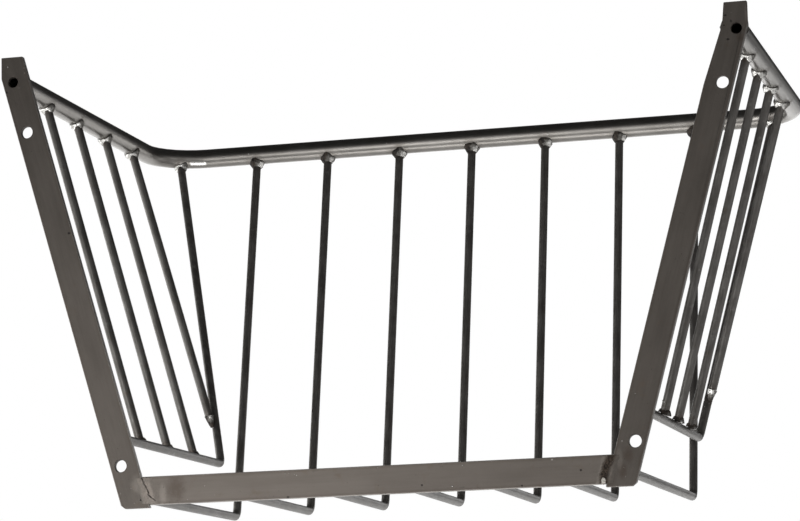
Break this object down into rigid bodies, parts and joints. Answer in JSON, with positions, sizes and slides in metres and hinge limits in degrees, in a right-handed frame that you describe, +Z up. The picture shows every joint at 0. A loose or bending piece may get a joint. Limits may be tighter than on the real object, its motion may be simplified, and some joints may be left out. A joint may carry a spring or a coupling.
{
  "type": "hay rack",
  "caption": "Wall-mounted hay basket welded from steel: two leaning flat-bar stiles and a bottom rail, a U-shaped tube rim, and bent round rods forming the front, sides and floor.",
  "frame": {"origin": "middle of the bottom rail's wall-side face, which lies in the wall plane", "axes": "+Z up, +Y out of the back of the rack into the wall, +X along the rail towards the left stile"},
  "size_m": [0.6819, 0.4165, 0.415],
  "materials": {
    "flat_bar": "raw hot-rolled mild steel with grey-brown mill scale",
    "round_tube": "raw drawn mild steel tube, smooth, slightly oily",
    "round_rod": "raw hot-rolled mild steel rod with grey mill scale",
    "weld_metal": "bright unground weld metal"
  },
  "bodies": {
    "root": {"left_stile": "flat_bar", "right_stile": "flat_bar", "bottom_rail": "flat_bar", "rim_tube": "round_tube", "front_rod_1": "round_rod", "front_rod_2": "round_rod", "front_rod_3": "round_rod", "front_rod_4": "round_rod", "front_rod_5": "round_rod", "front_rod_6": "round_rod", "front_rod_7": "round_rod", "corner_rod_left": "round_rod", "corner_rod_right": "round_rod", "side_rod_left_1": "round_rod", "side_rod_left_2": "round_rod", "side_rod_left_3": "round_rod", "side_rod_left_4": "round_rod", "side_rod_right_1": "round_rod", "side_rod_right_2": "round_rod", "side_rod_right_3": "round_rod", "side_rod_right_4": "round_rod", "weld_front_rod_1_top": "weld_metal", "weld_front_rod_2_top": "weld_metal", "weld_front_rod_3_top": "weld_metal", "weld_front_rod_4_top": "weld_metal", "weld_front_rod_5_top": "weld_metal", "weld_front_rod_6_top": "weld_metal", "weld_front_rod_7_top": "weld_metal", "weld_front_rod_1_foot": "weld_metal", "weld_front_rod_2_foot": "weld_metal", "weld_front_rod_3_foot": "weld_metal", "weld_front_rod_4_foot": "weld_metal", "weld_front_rod_5_foot": "weld_metal", "weld_front_rod_6_foot": "weld_metal", "weld_front_rod_7_foot": "weld_metal", "weld_corner_rod_left_top": "weld_metal", "weld_corner_rod_right_top": "weld_metal", "weld_corner_rod_left_foot": "weld_metal", "weld_corner_rod_right_foot": "weld_metal", "weld_side_rod_left_1_top": "weld_metal", "weld_side_rod_left_2_top": "weld_metal", "weld_side_rod_left_3_top": "weld_metal", "weld_side_rod_left_4_top": "weld_metal", "weld_side_rod_right_1_top": "weld_metal", "weld_side_rod_right_2_top": "weld_metal", "weld_side_rod_right_3_top": "weld_metal", "weld_side_rod_right_4_top": "weld_metal", "weld_side_rod_left_1_foot": "weld_metal", "weld_side_rod_left_2_foot": "weld_metal", "weld_side_rod_left_3_foot": "weld_metal", "weld_side_rod_left_4_foot": "weld_metal", "weld_side_rod_right_1_foot": "weld_metal", "weld_side_rod_right_2_foot": "weld_metal", "weld_side_rod_right_3_foot": "weld_metal", "weld_side_rod_right_4_foot": "weld_metal", "weld_rim_tube_left": "weld_metal", "weld_rim_tube_right": "weld_metal", "weld_rail_seam_left": "weld_metal", "weld_rail_seam_right": "weld_metal"}
  },
  "joints": []
}
